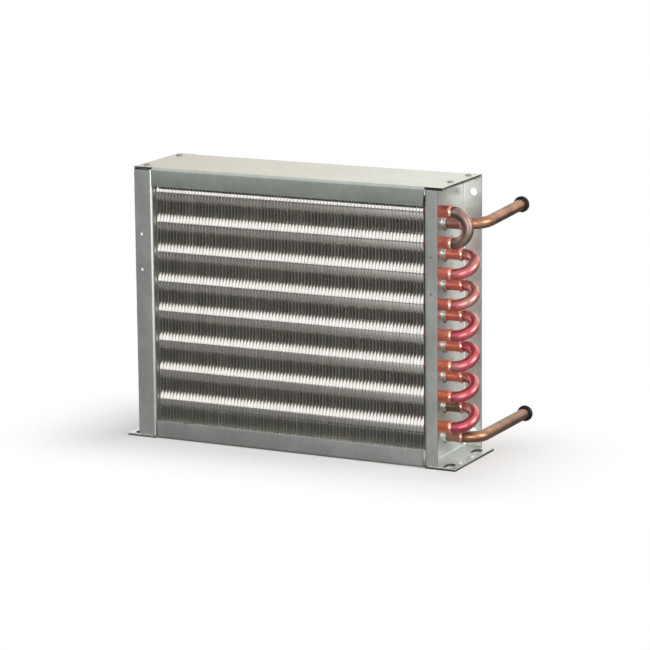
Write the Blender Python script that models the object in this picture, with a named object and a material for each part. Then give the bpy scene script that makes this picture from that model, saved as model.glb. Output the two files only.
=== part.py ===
"""Finned condenser coil: two staggered rows of copper tube through a stack of aluminium fins.

A galvanised sheet casing of four folded plates holds it: a top plate, a bottom plate and two
end plates that carry the tubes. Hairpin tubes run through from the left, return bends join
them on the right, and an inlet and an outlet pipe turn to the back and end in rubber plugs.

X runs to the right along the tubes, Y to the back through the fins and Z up. The origin is on
the underside of the bottom plate, at its middle.
"""

import math

import bmesh
import bpy
from mathutils import Vector
from mathutils.geometry import tessellate_polygon

MM = 0.001

# Casing
CASING_DEPTH = 78.0 * MM
WEB_SPAN = 252.0 * MM  # between the outer faces of the two end plates' webs
SHEET = 1.0 * MM
FOLD_RADIUS = 2.0 * MM  # to the middle of the sheet
FOLD_STEPS = 3
GAP = 0.3 * MM  # clearance between pieces that touch on the real coil

# Flanges, each measured outward from the web or from the plate that it is folded from
LEFT_FRONT_FLANGE = 15.5 * MM
RIGHT_FRONT_FLANGE = 10.5 * MM
BACK_FLANGE = 15.5 * MM
TOP_FLANGE = 13.5 * MM
FOOT = 26.5 * MM
TOP_PLATE_OVERHANG = 15.5 * MM
TOP_PLATE_FLANGE = 16.0 * MM
BOTTOM_PLATE_FLANGE = 15.0 * MM
FLANGE_TAPER = 1.2 * MM  # the flange of the top or bottom plate is this much shorter at its free edge

# Tubes
TUBE_PITCH = 25.4 * MM  # between the tubes of a row, and across each bend
ROWS_PER_SIDE = 8
FRONT_ROW_INSET = 18.0 * MM  # from the front of the casing
BEND_TUBE_RADIUS = 4.75 * MM
TUBE_WALL = 0.8 * MM
SOCKET_RADIUS = BEND_TUBE_RADIUS + GAP
LEG_RADIUS = SOCKET_RADIUS + 0.25 * MM  # of a hairpin, expanded into the fins
BORE_RADIUS = BEND_TUBE_RADIUS - TUBE_WALL  # of the inlet and outlet pipes
SOCKET_DEPTH = 8.5 * MM
STUB = 14.7 * MM  # of a hairpin past the right web
STUB_LEFT = 9.0 * MM  # of a hairpin between the left web and its bend
LIP_RADIUS = 5.9 * MM
LIP_LENGTH = 1.3 * MM
BEND_LEAD = 2.0 * MM  # straight part of a return bend outside its socket
TUBE_SIDES = 8
BEND_STEPS = 5
SMOOTH_ANGLE = math.radians(50)

# Collars drawn out of the end plates round each tube
WEB_COLLAR_HEIGHT = 3.0 * MM
WEB_COLLAR_WALL = 0.8 * MM

# Fins
FIN_DEPTH = 44.0 * MM
FIN_INSET = 7.0 * MM  # from the front of the casing
FIN_THICKNESS = 0.5 * MM
FIN_COUNT = 14
FIN_COLLAR_WALL = 0.45 * MM
FIN_COLLAR_SIDES = 4
FIN_BOTTOM = 13.05 * MM  # above the underside of the bottom plate
FIN_HEADROOM = 15.75 * MM  # from the fins to the upper side of the top plate

# Inlet and outlet pipes
PIPE_LEAD = 0.5 * MM
PIPE_BEND_STEPS = 6
INLET_BEND_RADIUS = 17.0 * MM
OUTLET_BEND_RADIUS = 14.0 * MM
INLET_REACH = 41.0 * MM  # behind the casing
OUTLET_REACH = 57.0 * MM
INLET_RISE = math.radians(2.9)
OUTLET_RISE = 0.0

# Rubber plugs in the pipe ends
PLUG_HEAD_RADIUS = 6.7 * MM
PLUG_HEAD_LENGTH = 4.2 * MM
PLUG_CHAMFER = 0.9 * MM
PLUG_STEM_LENGTH = 9.0 * MM
PLUG_SIDES = 10

# Rivets
RIVET_SHANK_RADIUS = 1.6 * MM
RIVET_HEAD_RADIUS = 3.0 * MM
RIVET_HEAD_HEIGHT = 1.1 * MM
RIVET_CROWN_RADIUS = 1.5 * MM
RIVET_TAIL = 0.6 * MM
RIVET_SIDES = 6
TOP_RIVET_REACH = 8.7 * MM  # from the web
FOOT_RIVET_REACH = 20.1 * MM
TOP_RIVET_INSET_RIGHT = 30.0 * MM  # of the front one, from the front of the casing
TOP_RIVET_INSET_LEFT = 10.0 * MM
TOP_RIVET_INSET_BACK = 12.0 * MM  # of the back ones, from the back of the casing
FOOT_RIVET_CLEARANCE_FRONT = 5.5 * MM  # from the end of the front slot to the rivet's axis
FOOT_RIVET_CLEARANCE_BACK = 10.5 * MM

# Slots in the feet and holes in the flanges
SLOT_WIDTH = 8.0 * MM
SLOT_LENGTH = 14.0 * MM
SLOT_REACH = 17.5 * MM  # from the web
SLOT_INSET_FRONT = 8.5 * MM  # from the front of the casing
SLOT_INSET_BACK = 15.5 * MM
SLOT_END_STEPS = 4
SHROUD_HOLE_RADIUS = 3.5 * MM
SHROUD_HOLE_REACH = 8.0 * MM  # from the web, in the back flange
SHROUD_HOLE_INSET = 15.0 * MM  # from the top and the bottom of the casing
PILOT_RADIUS = 1.2 * MM
PILOT_REACH_LEFT = 9.5 * MM
PILOT_REACH_RIGHT = 5.0 * MM
PILOT_HEIGHTS = (144.6 * MM, 174.7 * MM)
HOLE_SIDES = 6

# Places that follow from the sizes above
FIN_HEIGHT = TUBE_PITCH * ROWS_PER_SIDE
CASING_HEIGHT = FIN_BOTTOM + FIN_HEIGHT + FIN_HEADROOM
FRONT = -CASING_DEPTH / 2
BACK = CASING_DEPTH / 2
WEB_OUTSIDE = WEB_SPAN / 2
WEB_INSIDE = WEB_OUTSIDE - SHEET
WEB_MIDDLE = WEB_OUTSIDE - SHEET / 2
FOOT_MIDDLE = SHEET + GAP + SHEET / 2
TOP_FLANGE_MIDDLE = CASING_HEIGHT - SHEET - GAP - SHEET / 2
ROW_PITCH = TUBE_PITCH * math.sqrt(3) / 2
ROW_Y = (FRONT + FRONT_ROW_INSET, FRONT + FRONT_ROW_INSET + ROW_PITCH)
FIN_EDGE = TUBE_PITCH / 4  # from the lowest tube to the fin's lower edge
LIP_X = WEB_OUTSIDE + STUB
BEND_RADIUS = TUBE_PITCH / 2
TUBE_HOLE_RADIUS = (LEG_RADIUS + GAP) / math.cos(math.pi / TUBE_SIDES)
FIN_HOLE_RADIUS = (LEG_RADIUS + GAP) / math.cos(math.pi / FIN_COLLAR_SIDES)


def tube_z(row, index):
    """Height of a tube's axis: row 0 is the front one, index 0 the top tube of its row."""
    back_row_z = FIN_BOTTOM + FIN_EDGE + TUBE_PITCH * (ROWS_PER_SIDE - 1 - index)
    return back_row_z + (TUBE_PITCH / 2 if row == 0 else 0)


TUBE_AXES = [(ROW_Y[row], tube_z(row, i)) for row in (0, 1) for i in range(ROWS_PER_SIDE)]


def clear_scene():
    for obj in list(bpy.data.objects):
        bpy.data.objects.remove(obj, do_unlink=True)


def material(name, colour, metallic, roughness):
    made = bpy.data.materials.new(name)
    made.use_nodes = True
    shader = made.node_tree.nodes["Principled BSDF"]
    shader.inputs["Base Color"].default_value = (*colour, 1.0)
    shader.inputs["Metallic"].default_value = metallic
    shader.inputs["Roughness"].default_value = roughness
    made.diffuse_color = (*colour, 1.0)
    return made


def add_object(name, mesh, finish):
    obj = bpy.data.objects.new(name, mesh)
    bpy.context.scene.collection.objects.link(obj)
    if finish:
        mesh.materials.append(finish)
    return obj


def mesh_from(name, bm, smooth_angle=None):
    bmesh.ops.recalc_face_normals(bm, faces=bm.faces[:])
    if bm.calc_volume(signed=True) < 0:
        bmesh.ops.reverse_faces(bm, faces=bm.faces[:])
    mesh = bpy.data.meshes.new(name)
    bm.to_mesh(mesh)
    bm.free()
    if smooth_angle:
        mesh.shade_smooth()
        mesh.set_sharp_from_angle(angle=smooth_angle)
    return mesh


def circle(radius, sides, turn=0.0):
    """Points of a regular polygon round the origin, as (across, up)."""
    angles = [turn + 2 * math.pi * (k + 0.5) / sides for k in range(sides)]
    return [(radius * math.cos(a), radius * math.sin(a)) for a in angles]


def slot_outline(width, length):
    """A round-ended slot whose long way is along the second coordinate."""
    straight = (length - width) / 2
    points = []
    for side in (1, -1):
        for k in range(SLOT_END_STEPS + 1):
            angle = math.pi * k / SLOT_END_STEPS + (0 if side > 0 else math.pi)
            points.append((width / 2 * math.cos(angle), width / 2 * math.sin(angle) + side * straight))
    return points


def fold_line(corners):
    """A sheet folded along the given corners of its middle line, each fold a round arc.

    Returns the sheet's two faces as pairs of points, one pair at each end and at each arc step.
    """
    line = [(Vector(corners[0]), (Vector(corners[1]) - Vector(corners[0])).normalized())]
    for before, corner, after in zip(corners, corners[1:], corners[2:]):
        going_in = (Vector(corner) - Vector(before)).normalized()
        going_out = (Vector(after) - Vector(corner)).normalized()
        toward = (going_out - going_in).normalized()
        side = 1 if toward.dot(Vector((-going_in.y, going_in.x))) > 0 else -1
        centre = Vector(corner) + toward * FOLD_RADIUS * math.sqrt(2)
        for k in range(FOLD_STEPS + 1):
            angle = side * math.pi / 2 * k / FOLD_STEPS
            along = Vector(
                (
                    going_in.x * math.cos(angle) - going_in.y * math.sin(angle),
                    going_in.x * math.sin(angle) + going_in.y * math.cos(angle),
                )
            )
            line.append((centre + Vector((along.y, -along.x)) * FOLD_RADIUS * side, along))
    last = Vector(corners[-1])
    line.append((last, (last - Vector(corners[-2])).normalized()))
    half = SHEET / 2
    normals = [Vector((-along.y, along.x)) * half for _point, along in line]
    return [(point + up, point - up) for (point, _along), up in zip(line, normals)]


def add_strip(bm, line, start, end, place, open_span=None, open_start=False, open_end=False):
    """Extrudes a folded sheet from start to end; place(a, b, along) gives each point's position.

    The end faces of open_span, and the faces at the line's start and end, can be left open for
    another strip to join.
    """
    rows = [
        [tuple(bm.verts.new(place(*point, along)) for point in pair) for pair in line]
        for along in (start, end)
    ]
    low, high = rows
    for k in range(len(line) - 1):
        for face in (0, 1):
            bm.faces.new((low[k][face], low[k + 1][face], high[k + 1][face], high[k][face]))
        if k != open_span:
            for row in rows:
                bm.faces.new((row[k][0], row[k + 1][0], row[k + 1][1], row[k][1]))
    for k, left_open in ((0, open_start), (-1, open_end)):
        if not left_open:
            bm.faces.new((low[k][0], low[k][1], high[k][1], high[k][0]))


def add_tab(bm, root, root_width, reach, width, faces, place):
    """A flat tab that widens just past its root, where it joins a strip that is left open."""
    neck = root + math.copysign(GAP, reach - root)
    outline = [(root, -root_width), (neck, -root_width), (neck, -width), (reach, -width)]
    outline += [(a, -b) for a, b in outline[::-1]]
    rows = [[bm.verts.new(place(a, b, face)) for a, b in outline] for face in faces]
    for row in rows:
        bm.faces.new(row)
    for k in range(len(outline) - 1):
        bm.faces.new((rows[0][k], rows[0][k + 1], rows[1][k + 1], rows[1][k]))


def welded(bm):
    bmesh.ops.remove_doubles(bm, verts=bm.verts[:], dist=GAP / 1000)
    return bm


def add_prism(bm, outline, start, end, place):
    """Extrudes an outline from start to end; place(a, b, along) gives each point's position."""
    low = [bm.verts.new(place(a, b, start)) for a, b in outline]
    high = [bm.verts.new(place(a, b, end)) for a, b in outline]
    bm.faces.new(low)
    bm.faces.new(high[::-1])
    for k in range(len(outline)):
        nxt = (k + 1) % len(outline)
        bm.faces.new((low[k], high[k], high[nxt], low[nxt]))
    return low, high


def helper(name, bm):
    """A hidden mesh that a Boolean reads."""
    obj = add_object(name, mesh_from(name, bm), None)
    obj.hide_render = True
    obj.display_type = "WIRE"
    return obj


def add_boolean(obj, operation, other):
    modifier = obj.modifiers.new(f"{operation.lower()} {other.name}", "BOOLEAN")
    modifier.operation = operation
    modifier.object = other
    modifier.solver = "EXACT"


def along_x(side, middle):
    """Places an outline given as (y, z) round middle, extruded along X on one side of the coil."""
    return lambda a, b, x: (side * x, middle[0] + a, middle[1] + b)


def along_z(x, y):
    return lambda a, b, z: (x + a, y + b, z)


def along_y(x, z):
    return lambda a, b, y: (x + a, y, z + b)


def rivet_places():
    """Every rivet as (name, x, y, height of the face under its head)."""
    places = []
    front_inset = SLOT_INSET_FRONT + SLOT_LENGTH / 2 + FOOT_RIVET_CLEARANCE_FRONT
    back_inset = SLOT_INSET_BACK + SLOT_LENGTH / 2 + FOOT_RIVET_CLEARANCE_BACK
    foot_face = FOOT_MIDDLE + SHEET / 2
    for side, word, top_inset in (
        (1, "right", TOP_RIVET_INSET_RIGHT),
        (-1, "left", TOP_RIVET_INSET_LEFT),
    ):
        top_x = side * (WEB_OUTSIDE + TOP_RIVET_REACH)
        foot_x = side * (WEB_OUTSIDE + FOOT_RIVET_REACH)
        places += [
            (f"top_rivet_{word}_front", top_x, FRONT + top_inset, CASING_HEIGHT),
            (f"top_rivet_{word}_back", top_x, BACK - TOP_RIVET_INSET_BACK, CASING_HEIGHT),
            (f"foot_rivet_{word}_front", foot_x, FRONT + front_inset, foot_face),
            (f"foot_rivet_{word}_back", foot_x, BACK - back_inset, foot_face),
        ]
    return places


def add_sheet_cuts(bm, side=None):
    """Rivet holes and foot slots, through whatever sheets they meet; side keeps one end only."""
    through = 2 * SHEET + 2 * GAP
    for _name, x, y, face in rivet_places():
        if side is None or side * x > 0:
            outline = circle(RIVET_SHANK_RADIUS + GAP, HOLE_SIDES)
            add_prism(bm, outline, face - through, face + GAP, along_z(x, y))
    for end in (1, -1):
        if side is None or side == end:
            for y in (FRONT + SLOT_INSET_FRONT, BACK - SLOT_INSET_BACK):
                outline = slot_outline(SLOT_WIDTH, SLOT_LENGTH)
                x = end * (WEB_OUTSIDE + SLOT_REACH)
                add_prism(bm, outline, -SHEET, through + SHEET, along_z(x, y))


def end_plate(name, side, front_flange, pilot_reach, collared, finish):
    """A folded end plate: web, front and back flanges, top flange, foot and tube holes."""
    low = FOOT_MIDDLE + FOLD_RADIUS
    high = TOP_FLANGE_MIDDLE - FOLD_RADIUS
    front = FRONT + SHEET / 2
    back = BACK - SHEET / 2
    web = side * WEB_MIDDLE
    bm = bmesh.new()
    line = fold_line(
        [
            (side * (WEB_OUTSIDE + front_flange), front),
            (web, front),
            (web, back),
            (side * (WEB_OUTSIDE + BACK_FLANGE), back),
        ]
    )
    add_strip(bm, line, low, high, along_z(0, 0), open_span=FOLD_STEPS + 1)

    # The top flange and the foot are folded out of the flat of the web, between the other folds
    flat = BACK - SHEET / 2 - FOLD_RADIUS
    for reach, level, leg_end in ((TOP_FLANGE, TOP_FLANGE_MIDDLE, high), (FOOT, FOOT_MIDDLE, low)):
        root = side * (WEB_MIDDLE + FOLD_RADIUS)
        line = fold_line([(web, leg_end), (web, level), (root, level)])[1:-1]
        add_strip(bm, line, -flat, flat, along_y(0, 0), open_start=True, open_end=True)
        faces = (level - SHEET / 2, level + SHEET / 2)
        add_tab(bm, root, flat, side * (WEB_OUTSIDE + reach), BACK, faces, along_z(0, 0))
    plate = add_object(name, mesh_from(name, welded(bm)), finish)

    collars = bmesh.new()
    holes = bmesh.new()
    wall = WEB_COLLAR_WALL / math.cos(math.pi / TUBE_SIDES)
    for axis in TUBE_AXES:
        outline = circle(TUBE_HOLE_RADIUS + wall, TUBE_SIDES)
        add_prism(collars, outline, WEB_MIDDLE, WEB_OUTSIDE + WEB_COLLAR_HEIGHT, along_x(side, axis))
        outline = circle(TUBE_HOLE_RADIUS, TUBE_SIDES)
        add_prism(holes, outline, WEB_INSIDE - SHEET, LIP_X, along_x(side, axis))
    if collared:
        add_boolean(plate, "UNION", helper(f"{name} collars", collars))

    for z in (SHROUD_HOLE_INSET, CASING_HEIGHT - SHROUD_HOLE_INSET):
        outline = circle(SHROUD_HOLE_RADIUS, HOLE_SIDES)
        x = side * (WEB_OUTSIDE + SHROUD_HOLE_REACH)
        add_prism(holes, outline, BACK - 2 * SHEET, BACK + SHEET, along_y(x, z))
    for z in PILOT_HEIGHTS:
        outline = circle(PILOT_RADIUS, HOLE_SIDES)
        x = side * (WEB_OUTSIDE + pilot_reach)
        add_prism(holes, outline, FRONT - SHEET, FRONT + 2 * SHEET, along_y(x, z))
    add_sheet_cuts(holes, side)
    add_boolean(plate, "DIFFERENCE", helper(f"{name} holes", holes))
    return plate


def cover_plate(name, level, flange, half_length, up, finish):
    """The top or bottom plate: a flat sheet with a front and a back flange between the webs."""
    flange_end = WEB_INSIDE - GAP
    front = FRONT + SHEET / 2
    back = BACK - SHEET / 2
    edge = level + up * (flange - SHEET / 2)
    bm = bmesh.new()
    line = fold_line([(front, edge), (front, level), (back, level), (back, edge)])
    add_strip(bm, line, -flange_end, flange_end, along_x(1, (0, 0)), open_span=FOLD_STEPS + 1)
    for vert in bm.verts:
        if math.isclose(vert.co.z, edge, abs_tol=GAP):
            vert.co.x -= math.copysign(FLANGE_TAPER, vert.co.x)

    # The flat runs on past the webs, as a lid above and under the feet below
    flat = BACK - SHEET / 2 - FOLD_RADIUS
    faces = (level - SHEET / 2, level + SHEET / 2)
    for side in (1, -1):
        add_tab(bm, side * flange_end, flat, side * half_length, BACK, faces, along_z(0, 0))
    plate = add_object(name, mesh_from(name, welded(bm)), finish)

    holes = bmesh.new()
    add_sheet_cuts(holes)
    add_boolean(plate, "DIFFERENCE", helper(f"{name} holes", holes))
    return plate


def fin_pack(finish):
    """Fins in one stack, each joined to the next by the collars drawn round its tube holes."""
    bm = bmesh.new()
    start = -(WEB_INSIDE - GAP)
    pitch = 2 * (WEB_INSIDE - GAP) / FIN_COUNT
    front = FRONT + FIN_INSET
    sheet = [
        (front, FIN_BOTTOM),
        (front + FIN_DEPTH, FIN_BOTTOM),
        (front + FIN_DEPTH, FIN_BOTTOM + FIN_HEIGHT),
        (front, FIN_BOTTOM + FIN_HEIGHT),
    ]
    wall = FIN_COLLAR_WALL / math.cos(math.pi / FIN_COLLAR_SIDES)

    def ring(x, radius):
        return [
            [bm.verts.new((x, y + a, z + b)) for a, b in circle(radius, FIN_COLLAR_SIDES)]
            for y, z in TUBE_AXES
        ]

    def join(first, second):
        for a, b in zip(first, second):
            for k in range(len(a)):
                nxt = (k + 1) % len(a)
                bm.faces.new((a[k], b[k], b[nxt], a[nxt]))

    def face(outer, holes):
        loops = [[vert.co.copy() for vert in loop] for loop in [outer, *holes]]
        verts = [vert for loop in [outer, *holes] for vert in loop]
        for corners in tessellate_polygon(loops):
            bm.faces.new([verts[k] for k in corners])

    bore = ring(start, FIN_HOLE_RADIUS)
    holes = bore
    for k in range(FIN_COUNT):
        x = start + pitch * k
        near = [bm.verts.new((x, y, z)) for y, z in sheet]
        far = [bm.verts.new((x + FIN_THICKNESS, y, z)) for y, z in sheet]
        face(near, holes)
        join([near], [far])
        roots = ring(x + FIN_THICKNESS, FIN_HOLE_RADIUS + wall)
        face(far, roots)
        holes = ring(x + pitch, FIN_HOLE_RADIUS + wall)
        join(roots, holes)
    lips = ring(start + pitch * FIN_COUNT, FIN_HOLE_RADIUS)
    join(holes, lips)
    join(bore, lips)
    return add_object("fin_pack", mesh_from("fin_pack", bm), finish)


class Sweep:
    """Rings of points along a path that lies in one plane, joined into a closed tube."""

    def __init__(self, bm, across, sides):
        self.bm = bm
        self.across = across  # the direction square to the path's plane
        self.sides = sides
        self.last = None

    def ring(self, centre, along, radius, turn=0.0):
        second = self.across.cross(along).normalized()
        made = [
            self.bm.verts.new(centre + self.across * a + second * b)
            for a, b in circle(radius, self.sides, turn)
        ]
        if self.last:
            for k in range(self.sides):
                nxt = (k + 1) % self.sides
                self.bm.faces.new((self.last[k], made[k], made[nxt], self.last[nxt]))
        self.last = made
        return made

    def cap(self):
        self.bm.faces.new(self.last)


def u_path(start, straight, across_bend, outward, steps):
    """Points and directions of a U: a straight from start, a half turn, and a straight back."""
    turn_start = start + outward * straight
    centre = turn_start + across_bend * BEND_RADIUS
    path = [(start, outward)]
    for k in range(steps + 1):
        angle = math.pi * k / steps
        radial = -across_bend * math.cos(angle) + outward * math.sin(angle)
        along = across_bend * math.sin(angle) + outward * math.cos(angle)
        path.append((centre + radial * BEND_RADIUS, along))
    path.append((start + across_bend * 2 * BEND_RADIUS, -outward))
    return path


def socket_end(sweep, lip, inward, opening):
    """The rings of a hairpin's open end, from the socket's floor out to the lip, or back."""
    rings = [
        (lip + inward * SOCKET_DEPTH, SOCKET_RADIUS),
        (lip, SOCKET_RADIUS),
        (lip, LIP_RADIUS),
        (lip + inward * LIP_LENGTH, LEG_RADIUS),
    ]
    along = inward
    for centre, radius in rings if opening else rings[::-1]:
        sweep.ring(centre, along if opening else -along, radius)
        if opening and radius == SOCKET_RADIUS and centre != lip:
            sweep.cap()
    if not opening:
        sweep.cap()


def hairpin_across(index):
    """The direction square to the plane of a hairpin."""
    down = tube_z(1, index) - tube_z(0, index)
    return Vector((-1, 0, 0)).cross(Vector((0, ROW_PITCH, down)).normalized())


def facet_turn(across, socket_across):
    """Turn that lines up the facets of a tube with those of the hairpin socket it enters."""
    facet = 2 * math.pi / TUBE_SIDES
    angles = [math.atan2(axis.z, axis.y) for axis in (across, socket_across)]
    return (angles[0] - angles[1]) % facet


def hairpin(index, finish):
    """A U-shaped tube: its bend is left of the casing and its two socketed ends on the right."""
    front = Vector((LIP_X, ROW_Y[0], tube_z(0, index)))
    back = Vector((LIP_X, ROW_Y[1], tube_z(1, index)))
    across_bend = (back - front).normalized()
    outward = Vector((-1, 0, 0))
    bm = bmesh.new()
    sweep = Sweep(bm, hairpin_across(index), TUBE_SIDES)
    socket_end(sweep, front, outward, True)
    straight = LIP_X + WEB_OUTSIDE + STUB_LEFT
    for centre, along in u_path(front, straight, across_bend, outward, BEND_STEPS)[1:-1]:
        sweep.ring(centre, along, LEG_RADIUS)
    socket_end(sweep, back, outward, False)
    name = f"hairpin_{index + 1}"
    return add_object(name, mesh_from(name, bm, SMOOTH_ANGLE), finish)


def return_bend(index, first, second, finish):
    """A half-turn tube brazed into two hairpin ends on the right; first and second are axes."""
    seat = SOCKET_DEPTH - GAP
    start = Vector((LIP_X - seat, *first))
    end = Vector((LIP_X - seat, *second))
    across_bend = (end - start).normalized()
    outward = Vector((1, 0, 0))
    across = outward.cross(across_bend)
    bm = bmesh.new()
    sweep = Sweep(bm, across, TUBE_SIDES)
    # The facets line up with both sockets, so they turn a little on the way round
    turn = facet_turn(across, hairpin_across(0))
    last_turn = -turn % (2 * math.pi / TUBE_SIDES)
    path = u_path(start, seat + BEND_LEAD, across_bend, outward, BEND_STEPS)
    for k, (centre, along) in enumerate(path):
        share = min(max((k - 1) / BEND_STEPS, 0), 1)
        sweep.ring(centre, along, BEND_TUBE_RADIUS, turn + (last_turn - turn) * share)
        if k == 0:
            sweep.cap()
    sweep.cap()
    name = f"return_bend_{index}"
    return add_object(name, mesh_from(name, bm, SMOOTH_ANGLE), finish)


def pipe_path(axis, bend_radius, reach, rise):
    """Centre line of the inlet or outlet pipe: out of its socket, round to the back, and on."""
    start = Vector((LIP_X - SOCKET_DEPTH + GAP, *axis))
    out = Vector((1, 0, 0))
    back = Vector((0, math.cos(rise), math.sin(rise)))
    turn_start = Vector((LIP_X + PIPE_LEAD, *axis))
    centre = turn_start + back * bend_radius
    path = [(start, out)]
    for k in range(PIPE_BEND_STEPS + 1):
        angle = math.pi / 2 * k / PIPE_BEND_STEPS
        radial = -back * math.cos(angle) + out * math.sin(angle)
        along = back * math.sin(angle) + out * math.cos(angle)
        path.append((centre + radial * bend_radius, along))
    run = BACK + reach - path[-1][0].y
    path.append((path[-1][0] + back * (run / back.y), back))
    return path, out.cross(back)


def pipe(name, path, across, finish):
    """An open copper tube: down its outside from the socket end, and back along its bore."""
    bm = bmesh.new()
    sweep = Sweep(bm, across, TUBE_SIDES)
    turn = facet_turn(Vector((0, across.y, across.z)), hairpin_across(0))
    first = sweep.ring(*path[0], BEND_TUBE_RADIUS, turn)
    for centre, along in path[1:]:
        sweep.ring(centre, along, BEND_TUBE_RADIUS, turn)
    for centre, along in path[::-1]:
        sweep.ring(centre, along, BORE_RADIUS, turn)
    last = sweep.last
    for k in range(TUBE_SIDES):
        nxt = (k + 1) % TUBE_SIDES
        bm.faces.new((last[k], first[k], first[nxt], last[nxt]))
    return add_object(name, mesh_from(name, bm, SMOOTH_ANGLE), finish)


def plug(name, path, across, finish):
    """A rubber plug: a stem in the pipe's bore and a wider head against its end."""
    end, along = path[-1]
    stem = (BORE_RADIUS - GAP) * math.cos(math.pi / TUBE_SIDES)
    bm = bmesh.new()
    sweep = Sweep(bm, across, PLUG_SIDES)
    for distance, radius in (
        (-PLUG_STEM_LENGTH, stem),
        (GAP, stem),
        (GAP, PLUG_HEAD_RADIUS),
        (GAP + PLUG_HEAD_LENGTH - PLUG_CHAMFER, PLUG_HEAD_RADIUS),
        (GAP + PLUG_HEAD_LENGTH, PLUG_HEAD_RADIUS - PLUG_CHAMFER),
    ):
        sweep.ring(end + along * distance, along, radius)
        if distance == -PLUG_STEM_LENGTH:
            sweep.cap()
    sweep.cap()
    return add_object(name, mesh_from(name, bm, SMOOTH_ANGLE), finish)


def rivet(name, x, y, face, finish):
    """A domed rivet whose shank passes through the two sheets under its head."""
    grip = 2 * SHEET + GAP
    bm = bmesh.new()
    sweep = Sweep(bm, Vector((1, 0, 0)), RIVET_SIDES)
    up = Vector((0, 0, 1))
    foot = Vector((x, y, face))
    tail = min(RIVET_TAIL, face - grip)
    for height, radius in (
        (-grip - tail, RIVET_SHANK_RADIUS),
        (GAP, RIVET_SHANK_RADIUS),
        (GAP, RIVET_HEAD_RADIUS),
        (GAP + RIVET_HEAD_HEIGHT, RIVET_CROWN_RADIUS),
    ):
        sweep.ring(foot + up * height, up, radius)
        if height < 0:
            sweep.cap()
    sweep.cap()
    return add_object(name, mesh_from(name, bm, SMOOTH_ANGLE), finish)


def build():
    clear_scene()
    steel = material("galvanised_steel", (0.50, 0.53, 0.51), 0.85, 0.42)
    aluminium = material("fin_aluminium", (0.62, 0.61, 0.59), 0.9, 0.4)
    red_copper = material("oxidised_copper", (0.56, 0.16, 0.13), 0.8, 0.38)
    brown_copper = material("brown_copper", (0.42, 0.22, 0.13), 0.85, 0.36)
    rubber = material("black_rubber", (0.03, 0.028, 0.022), 0.0, 0.6)
    zinc = material("rivet_zinc", (0.72, 0.72, 0.70), 0.9, 0.35)

    end_plate("left_end_plate", -1, LEFT_FRONT_FLANGE, PILOT_REACH_LEFT, False, steel)
    end_plate("right_end_plate", 1, RIGHT_FRONT_FLANGE, PILOT_REACH_RIGHT, True, steel)
    top = CASING_HEIGHT - SHEET / 2
    top_half = WEB_OUTSIDE + TOP_PLATE_OVERHANG
    cover_plate("top_plate", top, TOP_PLATE_FLANGE, top_half, -1, steel)
    cover_plate("bottom_plate", SHEET / 2, BOTTOM_PLATE_FLANGE, WEB_OUTSIDE + FOOT, 1, steel)
    fin_pack(aluminium)

    for i in range(ROWS_PER_SIDE):
        hairpin(i, red_copper)
    front = [(ROW_Y[0], tube_z(0, i)) for i in range(ROWS_PER_SIDE)]
    back = [(ROW_Y[1], tube_z(1, i)) for i in range(ROWS_PER_SIDE)]
    return_bend(1, front[0], front[1], brown_copper)
    for i in range(1, ROWS_PER_SIDE - 1):
        return_bend(i + 1, back[i], front[i + 1], red_copper)
    for word, axis, bend_radius, reach, rise in (
        ("inlet", back[0], INLET_BEND_RADIUS, INLET_REACH, INLET_RISE),
        ("outlet", back[-1], OUTLET_BEND_RADIUS, OUTLET_REACH, OUTLET_RISE),
    ):
        path, across = pipe_path(axis, bend_radius, reach, rise)
        pipe(f"{word}_pipe", path, across, brown_copper)
        plug(f"{word}_plug", path, across, rubber)
    for name, x, y, face in rivet_places():
        rivet(name, x, y, face, zinc)


build()
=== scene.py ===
"""Finned condenser coil, dressed for the photograph: a folded zinc-coated steel casing round 81
aluminium fins, with copper hairpins, brazed return bends and two plugged pipe ends."""

import math

import bmesh
import bpy
from mathutils import Matrix, Vector


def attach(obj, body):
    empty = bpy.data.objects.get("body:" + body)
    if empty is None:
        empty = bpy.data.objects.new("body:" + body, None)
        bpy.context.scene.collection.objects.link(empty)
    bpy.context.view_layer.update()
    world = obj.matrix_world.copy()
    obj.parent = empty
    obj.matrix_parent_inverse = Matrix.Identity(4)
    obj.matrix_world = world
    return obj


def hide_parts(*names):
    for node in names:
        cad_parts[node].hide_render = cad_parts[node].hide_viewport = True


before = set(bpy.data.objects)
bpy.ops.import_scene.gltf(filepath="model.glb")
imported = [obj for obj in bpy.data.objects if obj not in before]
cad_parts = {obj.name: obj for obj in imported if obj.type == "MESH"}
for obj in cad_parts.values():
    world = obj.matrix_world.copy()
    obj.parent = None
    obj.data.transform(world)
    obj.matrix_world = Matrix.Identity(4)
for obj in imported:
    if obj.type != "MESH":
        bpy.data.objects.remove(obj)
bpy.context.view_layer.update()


# Top plate. Zinc-coated mild steel sheet, 1 mm thick, sheared to shape and folded down at the
# front and the back in a press brake. Its flat runs on past both end plates as a lid.

MM = 0.001
SHEET = 1.0 * MM
MID = SHEET / 2
FOLD = 2.0 * MM  # from a fold's centre to the middle of the sheet
FOLD_STEPS = 8
FRONT, BACK = -39.0 * MM, 39.0 * MM
FLAT = BACK - MID - FOLD  # half the depth that stays flat between two folds
CHANNEL_END = 125.15 * MM  # half the length of the part between the webs
RELIEF = 0.2 * MM  # cut between a fold's end and the tab beyond it
TAB_START = RELIEF + 0.1 * MM  # where the tab has reached its whole depth
LID_FACE = 232.0 * MM
TOP_LEVEL = LID_FACE - MID
LID_END = 141.5 * MM
LID_FLANGE = 16.0 * MM
LID_TRIM = 1.2 * MM
LID_TRIM_BELOW = 217 * MM


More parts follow.
